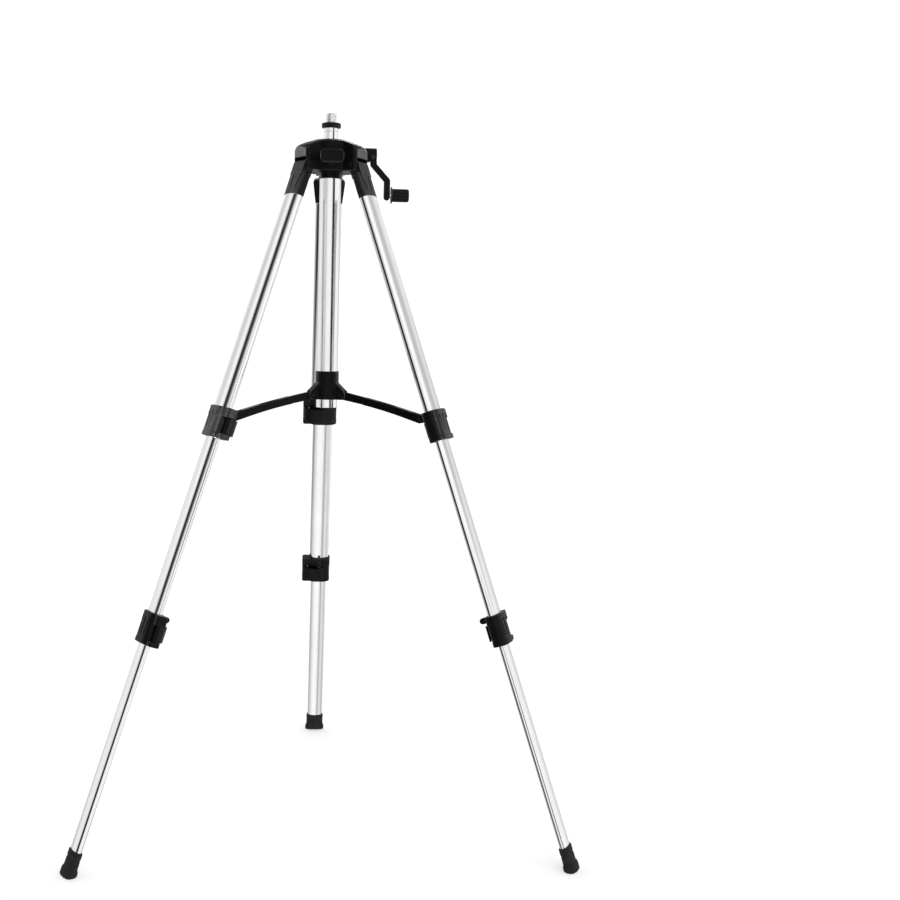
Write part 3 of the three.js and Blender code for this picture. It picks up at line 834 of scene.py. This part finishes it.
def head_casting():
    """The domed cap over three yokes, with the neck, the knob's boss and the crank's boss."""
    low, high = extent("head_casting")
    top = high.z
    cheek_bottom = low.z + 9.5
    underside = cheek_bottom + 18.5
    hinge = centre_of("leg_1_pin")
    hinge_radius = math.hypot(hinge.x - AXIS.x, hinge.y - AXIS.y) / MM
    hinge_height = hinge.z / MM
    knob = JOINTS["knob_turn"]["pos_m"][2] / MM
    crank = (joint_at("crank_turn") - AXIS) / MM
    crank_at = (crank.y, crank.z + AXIS.z / MM)

    dome = turned([
        (60, underside), (60, top - 20), (53.2, top - 14.5), (52.4, top - 11.8), (50.6, top - 9.9),
        (47.5, top - 8.0), (40, top - 4.8), (33, top - 2.7), (27.6, top - 1.0), (26.2, top - 0.25),
        (24, top),
    ])
    plans = [rod(HEAD_RADIUS, underside - 1, top + 1, steps=96)]
    cheeks = []
    for azimuth in leg_azimuths():
        outline = rounded_rectangle(5, YOKE_REACH, -YOKE_HALF, YOKE_HALF, 5.5)
        plans.append(about_z(prism(outline, underside - 1, top + 1), azimuth))
        side = [
            (20, cheek_bottom), *arc(YOKE_REACH - 3, cheek_bottom + 2.5, 2.5, -90, 0, 8),
            (YOKE_REACH - 0.5, underside + 2), (20, underside + 2),
        ]
        cheek = prism(side, -YOKE_HALF, YOKE_HALF, "y")
        cheeks.append(about_z(common(cheek, prism(outline, cheek_bottom - 1, underside + 1.5)), azimuth))
    cap = common(dome, joined(*plans))
    lower = rod(HEAD_RADIUS, cheek_bottom, underside + 1, steps=96)
    neck = rod(17.8, low.z, cheek_bottom + 1, steps=96)
    knob_boss = rod(10.5, -44.5, -25, "y", (0, knob), 0.6)
    crank_boss = rod(10.2, 20, 50, "x", crank_at, 0.6)
    body = joined(cap, *cheeks, lower, neck, knob_boss, crank_boss)
    tube_top = extent("centre_tube")[1].z
    tube_socket = rod(16.4, low.z - 5, tube_top + 0.4, steps=96)
    column_bore = rod(10.9, low.z, top + 5, steps=96)
    pinion_bore = rod(7.6, -5.4, 60, "x", crank_at)
    far_bearing = rod(3.8, -15, 0, "x", crank_at)
    screw_bore = rod(3.8, -60, -12, "y", (0, knob))
    pad_pocket = rod(4.9, -17, -8, "y", (0, knob))
    ring_groove = turned(rectangle(12.2, 13.6, top - 0.8, top + 1), loop=True)
    tools = [tube_socket, column_bore, pinion_bore, far_bearing, screw_bore, pad_pocket, ring_groove]
    for azimuth in leg_azimuths():
        tools.append(about_z(box(hinge_radius - 9.4, 70, -16.8, 16.8, low.z - 5, underside), azimuth))
        tools.append(about_z(rod(3.3, -40, 40, "y", (hinge_radius, hinge_height)), azimuth))
    return moulded(cut(body, *tools), 0.69)


def round_tube(node, wall, edge=0.3):
    """A tube round the column's axis the size of its CAD node, with broken edges."""
    low, high = extent(node)
    section = tube_section(low.z, high.z, edge, edge, wall - edge, wall)
    return turned([(high.x - less, z) for less, z in section], 128, loop=True)


def column_tube():
    """The geared column: a round tube with a rear slot where the rack lies."""
    rack_low, rack_high = extent("column_rack")
    slot = box(-2.8, 2.8, 0, 20, rack_low.z - 2, rack_high.z + 9)
    return cut(round_tube("column_tube", 1.5, 0.1), slot)


THREAD_PITCH = 25.4 / 11
THREAD_DEPTH = 1.25


def mount_stud():
    """The stud with its 5/8 inch-11 thread as a true helix, above the collar that closes the column."""
    low, high = extent("mount_stud")
    column_top = extent("column_tube")[1].z
    seat = extent("stud_ring")[0].z
    radius = 7.94
    steps = 96
    rings = [[(a, b, z) for a, b in circle(r, steps)] for r, z in (
        (8.7, low.z), (8.7, column_top + 0.3), (10.4, column_top + 0.3), (10.5, column_top + 0.4),
        (10.5, seat - 0.6), (10.2, seat - 0.3), (radius, seat - 0.3))]
    levels = 90
    for level in range(levels + 1):
        z = seat + (high.z - seat) * level / levels
        ring = []
        for step in range(steps):
            angle = math.tau * step / steps
            phase = (z / THREAD_PITCH - step / steps) % 1
            ridge = min(1, max(0, 1.35 - 2.7 * abs(phase - 0.5) * 1.1)) if level else 1
            tip = min(1, (high.z - z) / 1.4)
            r = radius - THREAD_DEPTH * (1 - ridge)
            r = min(r, radius - 1.4 + 1.4 * tip)
            ring.append((r * math.cos(angle), r * math.sin(angle), z))
        rings.append(ring)
    for r, z in ((3.4, high.z), (2.6, high.z - 1.6)):
        rings.append([(a, b, z) for a, b in circle(r, steps)])
    flat_over_rack = box(-10, 10, 5.2, 20, column_top - 20, column_top + 0.3)
    return cut(loft(rings), flat_over_rack)


def stud_ring():
    """The knurled ring round the foot of the stud."""
    low, high = extent("stud_ring")
    teeth = 56
    per_tooth = 6
    steps = teeth * per_tooth
    radius = high.x
    bore = 8.24
    rings = []
    for r, z, knurl in (
            (radius - 0.9, low.z, 0), (radius - 0.35, low.z + 0.35, 0), (radius, low.z + 0.9, 1),
            (radius, high.z - 1.1, 1), (radius - 0.35, high.z - 0.45, 0), (radius - 1.1, high.z, 0),
            (bore + 0.5, high.z, 0), (bore, high.z - 0.5, 0), (bore, low.z + 0.5, 0),
            (bore + 0.5, low.z, 0)):
        ring = []
        for step in range(steps):
            angle = math.tau * step / steps
            groove = 0.5 - 0.5 * math.cos(math.tau * step / per_tooth)
            reach = r - 0.5 * knurl * groove
            ring.append((reach * math.cos(angle), reach * math.sin(angle), z))
        rings.append(ring)
    return loft(rings, loop=True)


# ---- crank and knob ----
CRANK_BORE = 2.3
CRANK_FRAME = Matrix.Translation(joint_at("crank_turn"))
KNOB_FRAME = Matrix.Translation((AXIS.x, AXIS.y, joint_at("knob_turn").z))
GRIP_HEIGHT = (CRANK_FRAME.inverted() @ joint_at("grip_spin")).z / MM


def fold_pin():
    """The crank's folding pin in the crank's frame, as (x, z)."""
    pin = CRANK_FRAME.inverted() @ joint_at("crank_fold") / MM
    return pin.x, pin.z


def crank_hub():
    """The round boss, slotted for the arm."""
    low, high = extent("crank_hub", CRANK_FRAME)
    pin_x, pin_z = fold_pin()
    body = rod(high.z, low.x, high.x, "x", edge=1.0)
    tools = [
        rod(4.5, 40, 57.4, "x"),
        box(58.4, 75, -4.8, 4.8, -15, 6.2),
        rod(CRANK_BORE, -12, 12, "y", (pin_x, pin_z)),
    ]
    return moulded(cut(body, *tools), 0.35)


def crank_arm():
    """The cranked arm, from the folding pin down to the grip's axle."""
    low, high = extent("crank_arm", CRANK_FRAME)
    pin_x, pin_z = fold_pin()
    drop = low.z + 4.75
    outline = [
        *arc(pin_x, pin_z, 5.2, 5, 185, 20), (60.9, -15.8), (81.75, -38.6), (81.75, drop + 3),
        *arc(86.5, drop, 4.75, 190, 350, 18), (91.25, drop + 3), (91.25, -37.2), (89.8, -34.2),
        (70.6, -13.4),
    ]
    body = prism(outline, low.y, high.y, "y", 0.9)
    tools = [rod(CRANK_BORE, -12, 12, "y", (pin_x, pin_z)), rod(CRANK_BORE, 86.2, 95, "x", (0, GRIP_HEIGHT))]
    return moulded(cut(body, *tools), 0.35)


def crank_grip():
    """A ribbed barrel with a thin flange on its inner end."""
    low, high = extent("crank_grip", CRANK_FRAME)
    ribs, per_rib = 12, 12
    steps = ribs * per_rib
    rings = []
    for x, radius, rib in (
            (low.x, 11.9, 0), (low.x + 0.5, 12.5, 0), (low.x + 1.3, 12.5, 0), (low.x + 1.8, 11.9, 0),
            (low.x + 2.0, 9.6, 0), (low.x + 2.8, 9.8, 1), (high.x - 2.6, 9.8, 1), (high.x - 1.4, 9.5, 0),
            (high.x - 0.8, 9.0, 0), (high.x - 0.2, 8.4, 0), (high.x, 7.4, 0)):
        ring = []
        for step in range(steps):
            angle = math.tau * step / steps
            groove = max(0.0, -math.cos(math.tau * step / per_rib)) ** 0.7
            reach = radius - 0.8 * rib * groove
            ring.append((x, reach * math.cos(angle), reach * math.sin(angle)))
        rings.append(ring)
    body = moved(loft(rings), Matrix.Translation((0, 0, GRIP_HEIGHT)))
    return cut(body, rod(2.4, low.x - 2, 117.4, "x", (0, GRIP_HEIGHT)))


def lock_knob():
    """A clamp knob with a flat rounded wing, whose face is sunk inside a thin rim."""
    low, high = extent("lock_knob", KNOB_FRAME)
    half_width, half_height = high.x, high.z
    face = low.y
    shoulder = face + 16
    outline = rounded_rectangle(-half_width, half_width, -half_height, half_height, 6.5)
    wing = prism(outline, face, shoulder, "y", 1.2)
    neck = rod(7.5, shoulder - 1, -45.2, "y", edge=0.4)
    screw = rod(3.4, -46, high.y, "y")
    recess = prism(inset(outline, 1.7), face - 2, face + 0.9, "y")
    return moulded(cut(joined(wing, neck, screw), recess), 0.4, 2)


def pin(radius, half):
    """A turned pin along y with broken edges and a shallow dimple in each end."""
    edge, dimple_depth = 0.35, 0.45
    middle, rim = radius * 0.15, radius * 0.45
    profile = [
        (middle, -half + dimple_depth), (rim, -half), (radius - edge, -half), (radius, -half + edge),
        (radius, half - edge), (radius - edge, half), (rim, half), (middle, half - dimple_depth),
    ]
    return moved(turned(profile, 48), Matrix.Rotation(math.pi / 2, 4, "X"))


def end_plug(node):
    """A moulded plug with a raised rim, seen from below in the end of its tube."""
    low, high = extent(node)
    radius = high.x
    return turned([
        (2.0, low.z + 1.4), (radius - 3.4, low.z + 1.4), (radius - 2.8, low.z), (radius - 0.6, low.z),
        (radius, low.z + 0.6), (radius, high.z),
    ])


# ---- the tripod ----
def build_legs():
    """Three legs that share one set of meshes."""
    pieces = []
    for section, body in (("upper", "leg"), ("middle", "middle"), ("lower", "lower")):
        tube = oval_tube(section, WALLS[section])
        pieces.append((f"{section}_tube", body, finished(tube, ALUMINIUM)))
    for kind, body, mesh, material in (
            ("block", "leg", leg_block(), CASTING),
            ("upper_lock", "leg", lock_body("upper"), LOCKS),
            ("lower_lock", "middle", lock_body("lower"), EDGE_LIT_LOCKS),
            ("upper_lever", "upper_lever", lock_lever("upper"), DARK),
            ("lower_lever", "lower_lever", lock_lever("lower"), DARK),
            ("foot", "lower", foot(), RUBBER)):
        pieces.append((kind, body, finished(mesh, material)))
    for number in LEGS:
        for kind, body, mesh in pieces:
            put(f"leg_{number}_{kind}", mesh, leg_frame(number), f"{body}_{number}")


def build_spreader():
    """The braces and their pins, the legs' hinge pins, and the hub."""
    arm = finished(brace_arm(), DARK)
    link = finished(brace_link(), DARK)
    hub_pin = finished(pin(2.2, 6.2), BLACK_STEEL)
    leg_pin = finished(pin(3.0, 20.4), BLACK_STEEL)
    brace_pin = finished(pin(2.2, 5.9), BLACK_STEEL)
    for number in LEGS:
        matrix = brace_frame(number)
        at_hub = matrix.copy()
        at_hub.translation = joint_at(f"brace_link_turn_{number}")
        put(f"leg_{number}_brace_arm", arm, matrix, f"brace_arm_{number}")
        put(f"leg_{number}_brace_link", link, matrix, f"brace_link_{number}")
        put(f"leg_{number}_brace_pin", brace_pin, matrix, f"leg_{number}")
        put(f"leg_{number}_hub_pin", hub_pin, at_hub, "hub")
        put(f"leg_{number}_pin", leg_pin, leg_frame(number), "head")
    put("spreader_hub", finished(spreader_hub(), CASTING), COLUMN_FRAME, "hub")


def build_head():
    """The head with its tubes, the column and its stud, the knob and the crank."""
    fold = Matrix.Translation(joint_at("crank_fold"))
    for node, mesh, place, body, material in (
            ("head_casting", head_casting(), COLUMN_FRAME, "head", CASTING),
            ("centre_tube", round_tube("centre_tube", 1.6), COLUMN_FRAME, "head", ALUMINIUM),
            ("tube_end_plug", end_plug("tube_end_plug"), COLUMN_FRAME, "head", DARK),
            ("column_tube", column_tube(), COLUMN_FRAME, "column", BRIGHT_ALUMINIUM),
            ("mount_stud", mount_stud(), COLUMN_FRAME, "column", STEEL),
            ("stud_ring", stud_ring(), COLUMN_FRAME, "ring", BLACK_STEEL),
            ("lock_knob", lock_knob(), KNOB_FRAME, "knob", KNOB),
            ("crank_hub", crank_hub(), CRANK_FRAME, "crank", CASTING),
            ("crank_arm", crank_arm(), CRANK_FRAME, "crank_arm", DARK),
            ("crank_grip", crank_grip(), CRANK_FRAME, "grip", GRIP),
            ("crank_fold_pin", pin(2.0, 8.8), fold, "crank", BLACK_STEEL)):
        put(node, finished(mesh, material), place, body)


def paint_cad_nodes():
    """The inner pieces keep their CAD shapes and take a finish."""
    for node, material in (
            ("column_rack", NYLON), ("brake_pad", NYLON), ("column_end_plug", DARK),
            ("pinion_shaft", STEEL), ("grip_axle", STEEL)):
        thing = frame["nodes"][node]
        thing.data.materials.clear()
        thing.data.materials.append(material)


# ---- studio ----
CAMERA_DISTANCE = 1.9
CAMERA_HEIGHT = 0.7873
CAMERA_BEARING = math.radians(-1.86)
CAMERA_TURN = 0.039
CAMERA_TILT = 0.107
CAMERA_ROLL = 0.021
CAMERA_LENS = 49.63
FRAME_SHIFT = 0.0844
SOFTBOX_DISTANCE = 2.6
SOFTBOX_AIM = 0.85

# How bright the studio is on each bearing from the camera's side, to its right, in degrees.
# The walls carry softboxes with dark gaps, which draw the long lines in the bright tubes.
STUDIO_GAIN = 1.1
FLOOR_LIGHT = (
    (-180, 0.4), (-120, 0.45), (-79, 0.5), (-65, 0.55), (-48, 0.72), (-36, 0.82), (-10, 1.0), (8, 0.95),
    (20, 0.27), (30, 0.75), (45, 0.75), (58, 0.68), (82, 0.53), (122, 0.23), (180, 0.15),
)
LOW_LIGHT = (
    (-180, 0.6), (-120, 0.5), (-90, 0.3), (-78, 0.1), (-71, 0.01), (-41, 0.01), (-35, 0.2), (-30, 0.75),
    (-10, 0.9), (110, 0.92), (140, 0.6), (180, 0.6),
)
EYE_LIGHT = (
    (-180, 0.6), (-150, 0.7), (-110, 0.85), (-84, 0.8), (-78, 0.4), (-71, 0.01), (-41, 0.01), (-35, 0.3),
    (-30, 0.8), (-10, 0.9), (23, 0.9), (30, 0.01), (49, 0.01), (55, 0.92), (110, 0.92), (140, 0.6),
    (180, 0.6),
)
HIGH_LIGHT = (
    (-180, 1.0), (-150, 1.0), (-130, 0.55), (-106, 1.0), (-92, 0.7), (-81, 0.02), (-56, 0.02),
    (-36, 0.22), (-15, 0.5), (0, 0.8), (20, 1.0), (60, 1.0), (92, 0.55), (112, 0.5), (130, 0.75),
    (150, 0.9), (180, 0.75),
)
CEILING_LIGHT = (0.5, 0.5, 0.5)
FLOOR_RADIUS = 3000

# Name, bearing, height, size in metres, brightness, and words from the names of the pieces it lights.
HEAD_PIECES = ("casting", "hub", "knob", "crank", "ring")
LOCK_PIECES = ("upper_lock", "_lever")
SOFTBOXES = (
    ("left_fill", -56, 0.95, (1.9, 1.9), 0.65, ("centre_tube", "column_tube", "mount_stud")),
    ("right_fill", 45, 1.0, (1.2, 0.9), 0.8, ("leg_2_upper_tube", "leg_2_middle", "leg_2_lower_t")),
    ("left_rim", -125, 1.35, (1.2, 1.3), 7, HEAD_PIECES),
    ("right_rim", 118, 1.35, (1.3, 1.3), 5, HEAD_PIECES),
    ("left_block_key", -82, 1.9, (3.2, 1.6), 6, ("_block",)),
    ("right_block_key", 85, 1.9, (2.6, 1.6), 5, ("_block",)),
    ("dome_rim", 164, 2.2, (1.0, 0.6), 12, ("casting",)),
    ("left_lock_rim", -118, 1.35, (1.3, 1.3), 1.6, LOCK_PIECES),
    ("left_lock_key", -56, 0.9, (1.7, 1.3), 25, ("leg_2_upper_lock",)),
    ("right_lock_rim", 118, 1.35, (1.3, 1.3), 1.2, LOCK_PIECES),
    ("right_lock_key", 52, 0.9, (1.1, 1.6), 11, LOCK_PIECES),
)
UNMIRRORED_PIECES = ("_block", "brace", "crank")


def make_camera():
    """The camera stands in front of the crank side of the column, a little below the head."""
    data = bpy.data.cameras.new("camera")
    data.sensor_width = 36
    data.lens = CAMERA_LENS
    data.shift_x = FRAME_SHIFT
    camera = new_object("camera", data)
    look = Matrix.Rotation(CAMERA_TILT, 3, "X") @ Matrix.Rotation(CAMERA_TURN, 3, "Z")
    back = look.transposed() @ Vector((0, -1, 0))
    right = look.transposed() @ Vector((1, 0, 0))
    up = look.transposed() @ Vector((0, 0, 1))
    rolled_right = right * math.cos(CAMERA_ROLL) + up * math.sin(CAMERA_ROLL)
    rolled_up = up * math.cos(CAMERA_ROLL) - right * math.sin(CAMERA_ROLL)
    stand = placed((0, -CAMERA_DISTANCE, CAMERA_HEIGHT), rolled_right, rolled_up, back)
    camera.matrix_world = COLUMN_FRAME @ Matrix.Rotation(CAMERA_BEARING, 4, "Z") @ stand
    bpy.context.scene.camera = camera


def make_world():
    """White to the camera; to the tripod, the studio described by the light tables."""
    world = bpy.data.worlds.new("studio")
    world.use_nodes = True
    studio = Nodes(world.node_tree)

    def brightness(bearing, table):
        node = studio.nodes.new("ShaderNodeValToRGB")
        stops = node.color_ramp.elements
        while len(stops) < len(table):
            stops.new(0.5)
        for stop, (degrees, level) in zip(stops, table):
            stop.position = (degrees + 180) / 360
            stop.color = (level, level, level, 1)
        share = studio.computed("MULTIPLY_ADD", bearing, 1 / math.tau, 0.5)
        studio.links.new(share, node.inputs["Fac"])
        return node.outputs["Color"]

    def faded(height, low, high, below, above):
        share = studio.ranged(height, math.radians(low), math.radians(high), curve="SMOOTHSTEP")
        return studio.mixed(share, below, above)

    place = studio.nodes.new("ShaderNodeTexCoord")
    turn = studio.nodes.new("ShaderNodeMapping")
    turn.inputs["Rotation"].default_value = (0, 0, math.pi / 2 - CAMERA_BEARING)
    studio.links.new(place.outputs["Generated"], turn.inputs["Vector"])
    parts = studio.nodes.new("ShaderNodeSeparateXYZ")
    studio.links.new(turn.outputs["Vector"], parts.inputs["Vector"])
    bearing = studio.computed("ARCTAN2", parts.outputs["Y"], parts.outputs["X"])
    height = studio.computed("ARCSINE", parts.outputs["Z"])
    light = faded(height, -38, -28, brightness(bearing, FLOOR_LIGHT), brightness(bearing, LOW_LIGHT))
    light = faded(height, -9, -5, light, brightness(bearing, EYE_LIGHT))
    light = faded(height, 8, 16, light, brightness(bearing, HIGH_LIGHT))
    light = faded(height, 45, 65, light, CEILING_LIGHT)
    rays = studio.nodes.new("ShaderNodeLightPath")
    seen = studio.mixed(rays.outputs["Is Camera Ray"], light, (1, 1, 1))
    background = studio.nodes["Background"]
    studio.links.new(seen, background.inputs["Color"])
    background.inputs["Strength"].default_value = STUDIO_GAIN
    bpy.context.scene.world = world


def make_floor():
    """A pale sheet that fades into the backdrop."""
    floor = new_object("studio_floor", turned([(FLOOR_RADIUS, -3), (FLOOR_RADIUS, -0.3)], 96))
    floor.data.transform(Matrix.Scale(MM, 4))
    floor.location = (AXIS.x, AXIS.y, 0)
    floor.visible_glossy = False
    floor.data.materials.append(floor_finish())


def pieces_named(*words):
    """The drawn pieces whose names hold any of the words."""
    return [thing for thing in bpy.data.objects
            if thing.name.endswith("_shape") and any(word in thing.name for word in words)]


def softbox(name, bearing, height, size, brightness, lights):
    """An area light seen as bright as the tables' numbers say, which lights only some pieces."""
    data = bpy.data.lights.new(name, "AREA")
    data.shape = "RECTANGLE"
    data.size, data.size_y = size
    data.energy = brightness * math.pi * size[0] * size[1]
    light = new_object(name, data)
    a = math.radians(bearing) + CAMERA_BEARING - math.pi / 2
    out = Vector((math.cos(a), math.sin(a), 0)) * SOFTBOX_DISTANCE
    light.location = Vector((AXIS.x, AXIS.y, height)) + out
    aim = Vector((AXIS.x, AXIS.y, SOFTBOX_AIM))
    light.rotation_euler = (aim - light.location).to_track_quat("-Z", "Y").to_euler()
    light.visible_camera = False
    lit = bpy.data.collections.new(f"{name}_lights")
    for piece in pieces_named(*lights):
        lit.objects.link(piece)
    light.light_linking.receiver_collection = lit


def make_studio():
    """The surroundings and softboxes, and the pieces that nothing mirrors."""
    bpy.context.scene.view_settings.view_transform = "Standard"
    make_world()
    make_floor()
    for lamp in SOFTBOXES:
        softbox(*lamp)
    for piece in pieces_named(*UNMIRRORED_PIECES):
        piece.visible_glossy = False


make_camera()
build_legs()
build_spreader()
build_head()
paint_cad_nodes()
make_studio()
